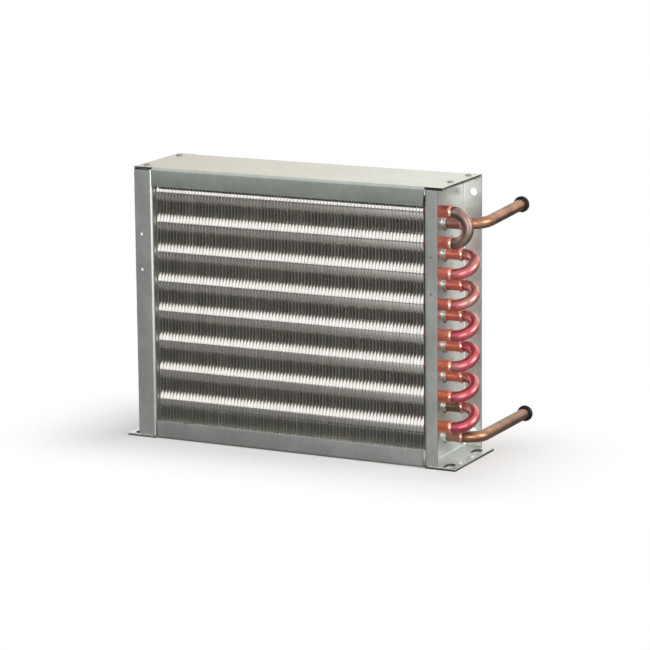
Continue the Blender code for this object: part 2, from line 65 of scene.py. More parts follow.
def linear(hex_colour):
    """The linear RGBA of an sRGB hex colour."""
    shares = [int(hex_colour[k : k + 2], 16) / 255 for k in (1, 3, 5)]
    return (*[c / 12.92 if c <= 0.04045 else ((c + 0.055) / 1.055) ** 2.4 for c in shares], 1.0)


def add_node(tree, kind, inputs=None):
    """Adds a node. Inputs are its sockets or properties by name: a value, or a socket to read."""
    node = tree.nodes.new(kind)
    for name, value in (inputs or {}).items():
        if isinstance(value, bpy.types.NodeSocket):
            tree.links.new(value, node.inputs[name])
        elif isinstance(name, str) and hasattr(node, name):
            setattr(node, name, value)
        else:
            node.inputs[name].default_value = value
    return node


def noise(tree, place, scale, detail, roughness=0.5):
    """A noise pattern, 0 to 1."""
    inputs = {"Vector": place, "Scale": scale, "Detail": detail, "Roughness": roughness}
    return add_node(tree, "ShaderNodeTexNoise", inputs).outputs["Fac"]


def map_range(tree, value, start, end, low=0.0, high=1.0, fade="LINEAR"):
    """Maps a value between start and end onto low to high."""
    inputs = {"interpolation_type": fade, "Value": value, "From Min": start, "From Max": end}
    inputs |= {"To Min": low, "To Max": high}
    return add_node(tree, "ShaderNodeMapRange", inputs).outputs["Result"]


def blend(tree, share, first, second, kind="MIX"):
    """Mixes two colours, each a socket or an sRGB hex colour."""
    inputs = {"blend_type": kind, "Fac": share}
    for name, colour in (("Color1", first), ("Color2", second)):
        inputs[name] = linear(colour) if isinstance(colour, str) else colour
    return add_node(tree, "ShaderNodeMixRGB", inputs).outputs["Color"]


def toned(tree, share, *stops):
    """The colour of a ramp with these stops, given as (position, sRGB hex colour)."""
    node = add_node(tree, "ShaderNodeValToRGB", {"Fac": share})
    elements = node.color_ramp.elements
    while len(elements) < len(stops):
        elements.new(0.5)
    for element, (position, colour) in zip(elements, stops):
        element.position = position
        element.color = linear(colour)
    return node.outputs["Color"]


def bump(tree, height, strength):
    """Relief a tenth of a millimetre deep, for the Normal input."""
    inputs = {"Strength": strength, "Distance": 0.1 * MM, "Height": height}
    return add_node(tree, "ShaderNodeBump", inputs).outputs["Normal"]


def start_material(name, **shader_settings):
    """A new node material: its tree, its shader and the surface's place in metres."""
    made = bpy.data.materials.new(name)
    made.use_nodes = True
    tree = made.node_tree
    shader = tree.nodes["Principled BSDF"]
    for socket, value in shader_settings.items():
        shader.inputs[socket.replace("_", " ")].default_value = value
    place = add_node(tree, "ShaderNodeTexCoord").outputs["Object"]
    return made, tree, shader, place


def feed(node, **sockets):
    """Links sockets to a node's inputs, named with _ for each space."""
    for name, socket in sockets.items():
        node.id_data.links.new(socket, node.inputs[name.replace("_", " ")])


def clouded_material(name, scale, detail, *stops, **shader_settings):
    """A material whose colour changes in clouds between the stops' tones."""
    made, tree, shader, place = start_material(name, **shader_settings)
    feed(shader, Base_Color=toned(tree, noise(tree, place, scale, detail), *stops))
    return made


def choose(*pieces):
    """Selects these pieces alone and makes the first one active."""
    bpy.ops.object.select_all(action="DESELECT")
    for piece in pieces:
        piece.select_set(True)
    bpy.context.view_layer.objects.active = pieces[0]


def pick(test, kind="VERT"):
    """Selects, in edit mode, every vertex or edge whose middle passes a test."""
    bpy.ops.mesh.select_mode(type=kind)
    bpy.ops.mesh.select_all(action="DESELECT")
    mesh = bpy.context.edit_object.data
    shape = bmesh.from_edit_mesh(mesh)
    for part in shape.verts if kind == "VERT" else shape.edges:
        corners = [part.co] if kind == "VERT" else [vert.co for vert in part.verts]
        if test(sum(corners, Vector()) / len(corners)):
            part.select_set(True)
    shape.select_flush_mode()
    bmesh.update_edit_mesh(mesh)


def near(value, target):
    return abs(value - target) < 0.02 * MM


def draw_on(x, y, z):
    """Extrudes the selected edges by this much."""
    bpy.ops.mesh.extrude_edges_move(TRANSFORM_OT_translate={"value": (x, y, z)})


def start_sheet(name, centre, size, turn=(0, 0, 0)):
    """A flat sheet without thickness, open in edit mode. Size is before the turn."""
    bpy.ops.object.select_all(action="DESELECT")
    bpy.ops.mesh.primitive_plane_add(size=1, location=(0, 0, 0), enter_editmode=True)
    piece = bpy.context.object
    piece.name = name
    piece.data.materials.append(zinc_sheet)
    # The second finish, for the sheet's edges, is near-black painted shade
    piece.data.materials.append(edge_steel_and_shade)
    bpy.ops.transform.resize(value=(*size, 1), center_override=(0, 0, 0))
    bpy.ops.object.mode_set(mode="OBJECT")
    piece.location = centre
    piece.rotation_euler = turn
    bpy.ops.object.transform_apply(location=True, rotation=True, scale=True)
    bpy.ops.object.mode_set(mode="EDIT")
    return piece


def fold_edge(test, pivot, axis, turn, flange):
    """Bends the picked edge of a sheet round a pivot and draws it on into a flange."""
    pick(test, "EDGE")
    bpy.ops.mesh.spin(steps=FOLD_STEPS, angle=-turn, center=pivot, axis=axis)  # spin is clockwise
    draw_on(*flange)


def fold_channel(name, level, way, flange, tab_end):
    """A sheet with both long edges folded up (way 1) or down (way -1) and a tab at each end."""
    sheet = start_sheet(name, (0, 0, level), (2 * CHANNEL_END, 2 * FLAT))
    for side in (1, -1):
        fold_edge(
            lambda p: near(p.y, side * FLAT) and near(p.z, level),
            (0, side * FLAT, level + way * FOLD),
            (1, 0, 0),
            side * way * math.pi / 2,
            (0, 0, way * (flange - FOLD - MID)),
        )
    for side in (1, -1):
        start = side * CHANNEL_END
        pick(lambda p: near(p.z, level) and near(p.x, start) and near(p.y, 0), "EDGE")
        draw_on(side * RELIEF, 0, 0)
        draw_on(side * (TAB_START - RELIEF), 0, 0)
        bpy.ops.transform.resize(value=(1, BACK / FLAT, 1), center_override=(start, 0, 0))
        draw_on(side * (tab_end - TAB_START) - start, 0, 0)
    return sheet


def trim_flanges(test, amount):
    """Moves the flange corners that pass a test back from both ends."""
    for side in (1, -1):
        pick(lambda p: near(p.x, side * CHANNEL_END) and test(p))
        bpy.ops.transform.translate(value=(-side * amount, 0, 0))


def apply_all(piece):
    choose(piece)
    for modifier in list(piece.modifiers):
        bpy.ops.object.modifier_apply(modifier=modifier.name)


def thicken(piece):
    """Gives a folded sheet its thickness; its edges take the near-black edge finish, which is
    painted shade.
    """
    bpy.ops.mesh.select_all(action="SELECT")
    bpy.ops.mesh.normals_make_consistent(inside=False)
    bpy.ops.object.mode_set(mode="OBJECT")
    wall = piece.modifiers.new("sheet", "SOLIDIFY")
    wall.thickness = SHEET
    wall.offset = 0
    wall.use_even_offset = True
    wall.material_offset_rim = 1
    apply_all(piece)


def cut(piece, cutters, finish=1):
    """Cuts the cutters out of a piece and removes them. Cut faces get the finish of that number."""
    for cutter in cutters:
        cutter.data.materials.append(None)
        cutter.data.materials.append(None)
        for face in cutter.data.polygons:
            face.material_index = finish
        hole = piece.modifiers.new("hole", "BOOLEAN")
        hole.operation = "DIFFERENCE"
        hole.solver = "EXACT"
        hole.material_mode = "INDEX"
        hole.object = cutter
    apply_all(piece)
    for cutter in cutters:
        bpy.data.objects.remove(cutter, do_unlink=True)


def soften(piece):
    """Breaks the sheared edges of a sheet and shades its folds smooth."""
    edge = piece.modifiers.new("broken edge", "BEVEL")
    edge.width = 0.12 * MM
    edge.segments = 1
    edge.limit_method = "ANGLE"
    edge.angle_limit = math.radians(50)
    apply_all(piece)
    bpy.ops.object.mode_set(mode="EDIT")
    bpy.ops.mesh.select_all(action="SELECT")
    bpy.ops.mesh.normals_make_consistent(inside=False)
    bpy.ops.object.mode_set(mode="OBJECT")
    bpy.ops.object.shade_smooth_by_angle(angle=math.radians(35))


def place_piece(piece, finish, slot, *nodes):
    """Gives a finished piece its body, the CAD nodes that it stands for and, if it has no
    material yet, its finish."""
    if not piece.data.materials:
        piece.data.materials.append(finish)
    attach(piece, "root")
    if nodes:
        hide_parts(*nodes)


# Hot-dip zinc on steel: a dull grey-green metal with faint crystals a few millimetres wide, and a
# thin uneven film of dust and oil from the shop.
zinc_sheet, tree, shader, place = start_material("zinc_coated_sheet", Metallic=1.0)
crystals = add_node(tree, "ShaderNodeTexVoronoi", {"Vector": place, "Scale": 230.0})
crystal_tone = toned(tree, crystals.outputs["Color"], (0.2, "#dce1dd"), (0.8, "#e4e8e5"))
haze = noise(tree, place, 26.0, 6.0, 0.62)
haze_tone = toned(tree, haze, (0.3, "#ecebe8"), (0.7, "#ffffff"))
feed(
    shader,
    Base_Color=blend(tree, 0.7, crystal_tone, haze_tone, "MULTIPLY"),
    Roughness=map_range(tree, haze, 0.0, 1.0, 0.28, 0.42),
    Normal=bump(tree, noise(tree, place, 1400.0, 3.0), 0.06),
)

# The lid's own sheet, painted with light and shade: its flat is tinted cream, partly dust and
# partly painted sheen, and darker toward the left; its flanges are darkened with painted shade.
lid_sheen_and_shade_zinc = zinc_sheet.copy()
lid_sheen_and_shade_zinc.name = "zinc_sheet_with_painted_sheen_and_shade"
tree = lid_sheen_and_shade_zinc.node_tree
shader = tree.nodes["Principled BSDF"]
place = add_node(tree, "ShaderNodeTexCoord").outputs["Object"]
along = add_node(tree, "ShaderNodeSeparateXYZ", {"Vector": place})
to_right = map_range(tree, along.outputs["X"], -130.0 * MM, 120.0 * MM)
on_flat = map_range(tree, along.outputs["Z"], LID_FACE - 0.3 * MM, LID_FACE - 0.05 * MM)
# Cream over the flat, darker toward the left: dust and painted sheen
dust_and_sheen_tone = blend(tree, to_right, "#e9ddcf", "#fffbf2")
# The flanges below the flat are darkened: painted shade
painted_sheen_and_shade = blend(tree, on_flat, "#d6dad5", dust_and_sheen_tone)
clean = shader.inputs["Base Color"].links[0].from_socket
feed(shader, Base_Color=blend(tree, 1.0, clean, painted_sheen_and_shade, "MULTIPLY"))

# Sheared and punched edges, bare steel under the zinc, coloured near-black with a little mottling:
# painted shade for the shadowed gaps and slots along them
edge_and_shade_tones = ((0.35, "#171611"), (0.7, "#2a2822"))
edge_steel_and_shade = clouded_material(
    "bare_edge_with_painted_shade", 180.0, 4.0, *edge_and_shade_tones, Metallic=0.0, Roughness=0.7
)

top_plate = fold_channel("lid_sheet", TOP_LEVEL, -1, LID_FLANGE, LID_END)
trim_flanges(lambda p: p.z < LID_TRIM_BELOW, LID_TRIM)  # their lower corners, at a slight slope
thicken(top_plate)
soften(top_plate)
top_plate.data.materials[0] = lid_sheen_and_shade_zinc
place_piece(top_plate, lid_sheen_and_shade_zinc, "galvanised_steel", "top_plate")


# Bottom plate. The same sheet folded up at the front and the back; its flat ends run on under the
# feet, where two slots at each end take the fixing screws.

BOTTOM_LEVEL = MID + 0.02 * MM  # just clear of the floor
BOTTOM_FLANGE = 15.0 * MM
BOTTOM_TRIM = 1.7 * MM
BOTTOM_TRIM_ABOVE = 2.4 * MM
FOOT_END = 152.48 * MM
SLOT_X = 143.5 * MM
SLOTS_Y = (-30.5 * MM, 23.5 * MM)
SLOT_RADIUS = 4.0 * MM
SLOT_STRAIGHT = 6.0 * MM


def slot_cutter(x, y):
    """A round-ended cutter for one foot slot."""
    bpy.ops.object.select_all(action="DESELECT")
    bpy.ops.mesh.primitive_cylinder_add(
        vertices=32, radius=SLOT_RADIUS, depth=12 * MM, location=(x, y, 0), enter_editmode=True
    )
    cutter = bpy.context.object
    for side in (1, -1):
        pick(lambda p: side * p.y > 0.01 * MM)
        bpy.ops.transform.translate(value=(0, side * SLOT_STRAIGHT / 2, 0))
    bpy.ops.object.mode_set(mode="OBJECT")
    return cutter


bottom_plate = fold_channel("floor_sheet", BOTTOM_LEVEL, 1, BOTTOM_FLANGE, FOOT_END)
trim_flanges(lambda p: p.z > BOTTOM_TRIM_ABOVE, BOTTOM_TRIM)  # they stop short of the end plates
thicken(bottom_plate)
cut(bottom_plate, [slot_cutter(x, y) for x in (-SLOT_X, SLOT_X) for y in SLOTS_Y])
soften(bottom_plate)
place_piece(bottom_plate, zinc_sheet, "galvanised_steel", "bottom_plate")


# End plates. One sheet each: a web that carries the tubes, folded outward on all four sides into
# two upright flanges, a lid flange and a slotted foot. Each tube hole is drawn into a collar.

WEB = 125.5 * MM  # to the middle of the web
WEB_OUTSIDE = WEB + MID
FOOT_LEVEL = 1.8 * MM
LID_FLANGE_LEVEL = 230.2 * MM
FLANGE_REACH = 15.5 * MM  # reaches are from the web's outer face
NARROW_FLANGE_REACH = 10.5 * MM
LID_FLANGE_REACH = 15.2 * MM
FOOT_REACH = FOOT_END - WEB_OUTSIDE
FLANGE_RUN = 1.4 * MM  # of the upright flanges past the web's flat part, at both ends
SHROUD_HOLE_X = 134 * MM
SHROUD_HOLES_Z = (15 * MM, 217 * MM)
SHROUD_HOLE_RADIUS = 3.5 * MM
PILOT_HOLES_Z = (144.6 * MM, 174.7 * MM)
PILOT_HOLE_RADIUS = 1.25 * MM
TUBE_PITCH = 25.4 * MM
ROW_PITCH = TUBE_PITCH * math.sqrt(3) / 2
FRONT_ROW = -21.0 * MM
BACK_ROW = FRONT_ROW + ROW_PITCH
TOP_FRONT_TUBE = 209.9 * MM
TUBES = 8
COLLAR_HEIGHT = 2.2 * MM
COLLAR_BORE = 5.35 * MM
COLLAR_OUTSIDE = 6.15 * MM
COLLAR_ROOT = 7.3 * MM
axes = [
    (row, TOP_FRONT_TUBE - TUBE_PITCH * (k + (0.5 if row == BACK_ROW else 0)))
    for row in (FRONT_ROW, BACK_ROW)
    for k in range(TUBES)
]


def turn_to(direction):
    """The turn that points Z in a direction."""
    return Vector(direction).to_track_quat("Z", "Y").to_euler()


def start_ring(name, radius, centre, direction, sides, filled=False):
    """A ring of edges facing a direction, open in edit mode with all of it selected."""
    bpy.ops.object.select_all(action="DESELECT")
    bpy.ops.mesh.primitive_circle_add(
        vertices=sides,
        radius=radius,
        fill_type="NGON" if filled else "NOTHING",
        location=centre,
        rotation=turn_to(direction),
        enter_editmode=True,
    )
    piece = bpy.context.object
    piece.name = name
    bpy.ops.mesh.select_mode(type="EDGE")
    bpy.ops.mesh.select_all(action="SELECT")
    return piece


def draw_rings(centre, direction, radius, steps):
    """Draws the selected ring on through steps of (distance along, new radius)."""
    direction = Vector(direction)
    centre = Vector(centre)
    for distance, next_radius in steps:
        draw_on(*(direction * distance))
        centre = centre + direction * distance
        scale = next_radius / radius
        bpy.ops.transform.resize(value=(scale, scale, scale), center_override=centre)
        radius = next_radius


def close_shape(piece):
    """Merges doubled points, turns all faces outward and leaves edit mode."""
    bpy.ops.mesh.select_all(action="SELECT")
    bpy.ops.mesh.remove_doubles(threshold=0.005 * MM)
    bpy.ops.mesh.normals_make_consistent(inside=False)
    bpy.ops.object.mode_set(mode="OBJECT")
    bpy.ops.object.transform_apply(location=True, rotation=True, scale=True)
    bpy.ops.object.shade_smooth_by_angle(angle=math.radians(40))


def copy_piece(piece, name, shift):
    """A copy with its own mesh, moved by shift."""
    choose(piece)
    bpy.ops.object.duplicate()
    made = bpy.context.object
    made.name = name
    bpy.ops.transform.translate(value=shift)
    bpy.ops.object.transform_apply(location=True, rotation=True, scale=True)
    return made


def repeat_at_tubes(piece, name):
    """Repeats a piece made at the first tube axis at the other fifteen, all as one mesh."""
    copies = [piece]
    for y, z in axes[1:]:
        copies.append(copy_piece(piece, name, (0, y - axes[0][0], z - axes[0][1])))
    choose(*copies)
    bpy.ops.object.join()
    return piece


def round_cutter(centre, direction, radius, depth, sides=24):
    bpy.ops.object.select_all(action="DESELECT")
    bpy.ops.mesh.primitive_cylinder_add(
        vertices=sides, radius=radius, depth=depth, location=centre, rotation=turn_to(direction)
    )
    return bpy.context.object


def end_plate(name, side, front_reach, pilot_x):
    """Folds one end plate and cuts its holes; side is 1 on the right and -1 on the left."""
    low, high = FOOT_LEVEL + FOLD, LID_FLANGE_LEVEL - FOLD
    middle = (low + high) / 2
    web_x = side * WEB
    plate = start_sheet(name, (web_x, 0, middle), (high - low, 2 * FLAT), (0, math.pi / 2, 0))
    pivot_x = side * (WEB + FOLD)
    for way, reach in ((-1, front_reach), (1, FLANGE_REACH)):
        fold_edge(
            lambda p: near(p.y, way * FLAT) and near(p.z, middle) and near(p.x, web_x),
            (pivot_x, way * FLAT, middle),
            (0, 0, 1),
            -side * way * math.pi / 2,
            (side * (WEB_OUTSIDE + reach) - pivot_x, 0, 0),
        )
    for edge, way in ((high, 1), (low, -1)):
        pick(lambda p: near(p.z, edge) and abs(p.y) > FLAT + 0.05 * MM, "EDGE")
        draw_on(0, 0, way * FLANGE_RUN)
    for edge, way, reach in ((high, 1, LID_FLANGE_REACH), (low, -1, FOOT_REACH)):
        fold_edge(
            lambda p: near(p.z, edge) and near(p.y, 0) and near(p.x, web_x),
            (pivot_x, 0, edge),
            (0, 1, 0),
            side * way * math.pi / 2,
            (side * TAB_START, 0, 0),
        )
        bpy.ops.transform.resize(value=(1, BACK / FLAT, 1), center_override=(pivot_x, 0, edge))
        draw_on(side * (WEB_OUTSIDE + reach - TAB_START) - pivot_x, 0, 0)
    thicken(plate)
    # The edges of the foot and of the lid flange's end keep the zinc finish rather than the
    # near-black painted shade
    for face in plate.data.polygons:
        x, z = face.center.x, face.center.z
        in_foot = z < 3 * MM
        at_lid_end = z > 229 * MM and abs(x) > 140.5 * MM
        if in_foot or at_lid_end:
            face.material_index = 0
    cutters = [round_cutter((web_x, y, z), (1, 0, 0), COLLAR_ROOT, 6 * MM) for y, z in axes]
    cutters += [slot_cutter(side * SLOT_X, y) for y in SLOTS_Y]
    for z in SHROUD_HOLES_Z:
        hole = (side * SHROUD_HOLE_X, BACK, z)
        cutters.append(round_cutter(hole, (0, 1, 0), SHROUD_HOLE_RADIUS, 6 * MM))
    for z in PILOT_HOLES_Z:
        hole = (side * pilot_x, FRONT, z)
        cutters.append(round_cutter(hole, (0, 1, 0), PILOT_HOLE_RADIUS, 6 * MM, 16))
    cut(plate, cutters)
    soften(plate)
    return plate


def web_collars(name, side):
    """The drawn collars of one end plate, from the web's round openings to their sheared rims."""
    out = (side, 0, 0)
    start = (side * (WEB_OUTSIDE - SHEET), *axes[0])
    first = start_ring(name, COLLAR_ROOT, start, out, 24)
    draw_rings(
        start,
        out,
        COLLAR_ROOT,
        [
            (0.0, COLLAR_BORE + 1.2 * MM),
            (0.35 * MM, COLLAR_BORE + 0.35 * MM),
            (0.85 * MM, COLLAR_BORE),
            (SHEET + COLLAR_HEIGHT - 1.2 * MM, COLLAR_BORE),
            (0.0, COLLAR_OUTSIDE - 0.1 * MM),
            (-0.1 * MM, COLLAR_OUTSIDE),
            (-1.9 * MM, COLLAR_OUTSIDE),
            (-0.65 * MM, COLLAR_OUTSIDE + 0.3 * MM),
            (-0.35 * MM, COLLAR_ROOT),
            (-SHEET, COLLAR_ROOT),
        ],
    )
    close_shape(first)
    return repeat_at_tubes(first, name)


for word, side, front_reach, pilot_x in (
    ("left", -1, FLANGE_REACH, 135.6 * MM),
    ("right", 1, NARROW_FLANGE_REACH, 130.8 * MM),
):
    plate = end_plate(f"{word}_end_sheet", side, front_reach, pilot_x)
    place_piece(plate, zinc_sheet, "galvanised_steel", f"{word}_end_plate")
    collars = web_collars(f"{word}_web_collars", side)
    place_piece(collars, zinc_sheet, "galvanised_steel", f"{word}_end_plate")


# Fins. 81 aluminium foils, each pierced sixteen times. Round every hole a seat is pressed up and a
# collar drawn from it, which spaces the next fin off and grips the tube expanded into it.

FIN_COUNT = 81
FIN_PITCH = 3.07 * MM
FIN_START = -124.4 * MM
FIN_FOIL = 0.16 * MM
FIN_FRONT, FIN_BACK = -32.0 * MM, 12.0 * MM
FIN_LOW, FIN_HIGH = 13.05 * MM, 216.25 * MM
FIN_BORE = 5.07 * MM
FIN_SIDES = 12
FINWISE = 0.9 / FIN_PITCH  # pattern scale along X at which neighbouring fins differ
SEAT_EDGE = 10.75 * MM
SEAT_OVERLAP = 0.15 * MM
SEAT_STEPS = [  # from the foil outward and back: distance along, new radius
    (2.20 * MM, 10.3 * MM),
    (0.15 * MM, 9.9 * MM),
    (0.20 * MM, 6.0 * MM),
    (0.20 * MM, 5.3 * MM),
    (1.15 * MM, 5.3 * MM),
    (0.0, FIN_BORE),
    (-1.30 * MM, FIN_BORE),
    (-0.20 * MM, 5.8 * MM),
    (-0.20 * MM, 9.7 * MM),
    (-0.10 * MM, 10.15 * MM),
    (-2.10 * MM, SEAT_EDGE),
]


def stack_along(piece, count, step):
    """Repeats a piece in a row and makes the row one mesh."""
    row = piece.modifiers.new("row", "ARRAY")
    row.count = count
    row.use_relative_offset = False
    row.use_constant_offset = True
    row.constant_offset_displace = step
    apply_all(piece)


bpy.ops.object.select_all(action="DESELECT")
bpy.ops.mesh.primitive_cube_add(size=1, location=(0, 0, 0), enter_editmode=True)
fins = bpy.context.object
fins.name = "fin_foils"
bpy.ops.transform.resize(
    value=(FIN_FOIL, FIN_BACK - FIN_FRONT, FIN_HIGH - FIN_LOW), center_override=(0, 0, 0)
)
bpy.ops.transform.translate(
    value=(FIN_START + FIN_FOIL / 2, (FIN_FRONT + FIN_BACK) / 2, (FIN_LOW + FIN_HIGH) / 2)
)
bpy.ops.object.mode_set(mode="OBJECT")
opening = SEAT_EDGE - SEAT_OVERLAP
openings = [
    round_cutter((FIN_START, y, z), (1, 0, 0), opening, 2 * MM, FIN_SIDES) for y, z in axes
]
cut(fins, openings, finish=0)
stack_along(fins, FIN_COUNT, (FIN_PITCH, 0, 0))

start = (FIN_START + FIN_FOIL / 2, *axes[0])
front_seats = start_ring("front_row_seats", SEAT_EDGE, start, (1, 0, 0), FIN_SIDES)
draw_rings(start, (1, 0, 0), SEAT_EDGE, SEAT_STEPS)
close_shape(front_seats)
back_seats = copy_piece(front_seats, "back_row_seats", (0, ROW_PITCH, -TUBE_PITCH / 2))
for row_of_seats in (front_seats, back_seats):
    stack_along(row_of_seats, TUBES, (0, 0, -TUBE_PITCH))
    stack_along(row_of_seats, FIN_COUNT - 1, (FIN_PITCH, 0, 0))  # none on the last, by the web

# Bare rolled aluminium foil: pale metal dulled by oxide, a little different from fin to fin
foil, tree, shader, place = start_material("aluminium_foil", Metallic=0.85, Roughness=0.45)
per_fin = add_node(
    tree, "ShaderNodeMapping", {"Vector": place, "Scale": (FINWISE, 6.0, 3.0)}
)
oxide = noise(tree, per_fin.outputs["Vector"], 1.0, 2.0)
feed(shader, Base_Color=toned(tree, oxide, (0.35, "#c8c5be"), (0.65, "#dcd9d2")))

# The same foil where the seats and collars are formed, made lighter: partly burnished by the press
# tools, partly painted sheen
burnished_and_sheen_foil, tree, shader, place = start_material("burnished_foil_with_painted_sheen", Metallic=1.0, Roughness=0.15)
per_seat = add_node(
    tree, "ShaderNodeMapping", {"Vector": place, "Scale": (FINWISE, 30.0, 30.0)}
)
polish = noise(tree, per_seat.outputs["Vector"], 1.0, 2.0)
feed(shader, Base_Color=toned(tree, polish, (0.3, "#efece6"), (0.7, "#fdfbf7")))
place_piece(fins, foil, "fin_aluminium", "fin_pack")
for row_of_seats in (front_seats, back_seats):
    place_piece(row_of_seats, burnished_and_sheen_foil, "fin_aluminium", "fin_pack")


# Hairpins. Soft copper tube, 3/8 inch, bent once on the left, pushed through the fins from there
# and expanded; each right end is belled and flared to take a bend or a pipe.

LIP = 140.7 * MM
SOCKET_DEPTH = 8.5 * MM
BELL_ROOT = 2.1 * MM  # from the lip back to where the bell has narrowed to the leg
LEG_RADIUS = 5.05 * MM
SOCKET_RADIUS = 4.85 * MM
LEFT_TURN = -134.7 * MM
TUBE_SIDES = 24
END_MIDDLE = 134 * MM  # half way along the ends that stand out of the right web
right = Vector((1, 0, 0))
down = Vector((0, 0, -TUBE_PITCH))
front_axis = Vector((LIP, FRONT_ROW, TOP_FRONT_TUBE))
back_axis = Vector((LIP, BACK_ROW, TOP_FRONT_TUBE - TUBE_PITCH / 2))


def half_turn(first, second, at, steps):
    """Spins the selected ring through a half turn from the first tube axis to the second."""
    centre = (first + second) / 2
    centre.x = at
    axis = (second - first).cross(right).normalized()
    way = 1 if at > 0 else -1
    bpy.ops.mesh.spin(steps=steps, angle=way * math.pi, center=centre, axis=axis)


def combine(tree, operation, first, second):
    """A Math node's result."""
    inputs = {"operation": operation, 0: first, 1: second}
    return add_node(tree, "ShaderNodeMath", inputs).outputs["Value"]


def vector_math(tree, operation, first, second=(0, 0, 0)):
    """A Vector Math node's results, named Vector and Value."""
    inputs = {"operation": operation, 0: first, 1: second}
    return add_node(tree, "ShaderNodeVectorMath", inputs).outputs


def from_end(tree, place, k):
    """Distance from the bare right end of tube k in the back row."""
    centre = (END_MIDDLE, BACK_ROW, TOP_FRONT_TUBE - TUBE_PITCH * (k + 0.5))
    return vector_math(tree, "DISTANCE", place, centre)["Value"]


bell = [  # from the socket's floor to the flared rim and back to the leg
    (7.0 * MM, SOCKET_RADIUS),
    (1.0 * MM, 5.0 * MM),
    (0.5 * MM, 5.7 * MM),
    (-0.15 * MM, 5.95 * MM),
    (-0.35 * MM, 5.8 * MM),
    (-0.7 * MM, 5.3 * MM),
    (-0.9 * MM, LEG_RADIUS),
]
socket_floor = front_axis - right * SOCKET_DEPTH
hairpin = start_ring("hairpin_tube_1", SOCKET_RADIUS, socket_floor, right, TUBE_SIDES, True)
draw_rings(socket_floor, right, SOCKET_RADIUS, bell)
leg = LIP - BELL_ROOT - LEFT_TURN
draw_rings(front_axis - right * BELL_ROOT, right, LEG_RADIUS, [(-leg, LEG_RADIUS)])
half_turn(front_axis, back_axis, LEFT_TURN, 16)
turned = Vector((LEFT_TURN, back_axis.y, back_axis.z))
draw_rings(turned, right, LEG_RADIUS, [(leg, LEG_RADIUS)])
radii = [SOCKET_RADIUS] + [radius for _step, radius in bell]
back_bell = [(-step, radius) for (step, _radius), radius in zip(bell[::-1], radii[-2::-1])]
draw_rings(back_axis - right * BELL_ROOT, right, LEG_RADIUS, back_bell)
bpy.ops.mesh.edge_face_add()
close_shape(hairpin)

# Copper that was heated red at the brazing: orange-red cuprous oxide, blotched. The two ends that
# take the pipes were brazed on their own, less hot, and stayed brown. The lower ends had more heat
# and turned orange, and the flame left soot on the one above the outlet.
fired_copper, tree, shader, place = start_material("fired_copper", Metallic=0.7)
blotch = noise(tree, place, 60.0, 5.0, 0.6)
copper_tones = ((0.30, "#a85a52"), (0.45, "#d47268"), (0.60, "#e48674"), (0.75, "#be6c62"))
along = add_node(tree, "ShaderNodeSeparateXYZ", {"Vector": place})
orange_share = map_range(tree, along.outputs["Z"], 150 * MM, 30 * MM, high=0.5)
heated = blend(tree, orange_share, toned(tree, blotch, *copper_tones), "#e88a58")
from_inlet, from_sooted, from_outlet = (from_end(tree, place, k) for k in (0, 6, 7))
from_pipes = combine(tree, "MINIMUM", from_inlet, from_outlet)
brown_share = map_range(tree, from_pipes, 13 * MM, 9 * MM, high=0.85)
browned = blend(tree, brown_share, heated, "#8d7266")
soot_share = map_range(tree, from_sooted, 13 * MM, 9 * MM, high=0.85)
feed(
    shader,
    Base_Color=blend(tree, soot_share, browned, "#5c5d50"),
    Roughness=map_range(tree, blotch, 0.0, 1.0, 0.3, 0.5),
    Normal=bump(tree, noise(tree, place, 600.0, 4.0), 0.15),
)

place_piece(hairpin, fired_copper, "oxidised_copper", "hairpin_1")
for k in range(1, TUBES):
    tube = copy_piece(hairpin, f"hairpin_tube_{k + 1}", down * k)
    place_piece(tube, fired_copper, "oxidised_copper", f"hairpin_{k + 1}")


# Return bends. Short half turns of the same tube, brazed into the belled ends of the hairpins: one
# down the front row at the top, the others from the back row to the front row.

BEND_TUBE = 4.76 * MM  # the tube's outer radius
BEND_SEAT = 8.0 * MM
BEND_LEAD = 2.0 * MM


def return_bend(name, first, second):
    start = first - right * BEND_SEAT
    length = BEND_SEAT + BEND_LEAD
    piece = start_ring(name, BEND_TUBE, start, right, TUBE_SIDES, True)
    draw_rings(start, right, BEND_TUBE, [(length, BEND_TUBE)])
    half_turn(first, second, LIP + BEND_LEAD, 20)
    draw_rings(second + right * BEND_LEAD, right, BEND_TUBE, [(-length, BEND_TUBE)])
    bpy.ops.mesh.edge_face_add()
    close_shape(piece)
    return piece


def tarnished(name, *tones):
    """Drawn copper gone dull in store, with clouds of tarnish in these four tones."""
    stops = zip((0.30, 0.48, 0.60, 0.72), tones)
    return clouded_material(name, 55.0, 5.0, *stops, Metallic=0.95, Roughness=0.34)


# Bright drawn copper with a rose bloom of oxide, worn through to grey-brown in patches
rose_copper, tree, shader, place = start_material("rose_oxide_copper", Metallic=0.85)
bloom = noise(tree, place, 48.0, 4.0, 0.55)
rose_tones = ((0.32, "#c05662"), (0.47, "#ca6c72"), (0.58, "#c2827e"), (0.70, "#b0928a"))
feed(
    shader,
    Base_Color=toned(tree, bloom, *rose_tones),
    Roughness=map_range(tree, bloom, 0.0, 1.0, 0.2, 0.36),
)
grey_copper = tarnished("greyed_copper", "#6a564f", "#90776e", "#b69d94", "#9c8a84")
brown_copper = tarnished("browned_copper", "#6c5749", "#8b6a56", "#a4785c", "#8c7567")

first_bend = return_bend("bend_tube_1", front_axis, front_axis + down)
place_piece(first_bend, grey_copper, "brown_copper", "return_bend_1")
slanted = return_bend("bend_tube_2", back_axis + down, front_axis + down * 2)
place_piece(slanted, rose_copper, "oxidised_copper", "return_bend_2")
for k in range(3, TUBES):
    tube = copy_piece(slanted, f"bend_tube_{k}", down * (k - 2))
    place_piece(tube, rose_copper, "oxidised_copper", f"return_bend_{k}")
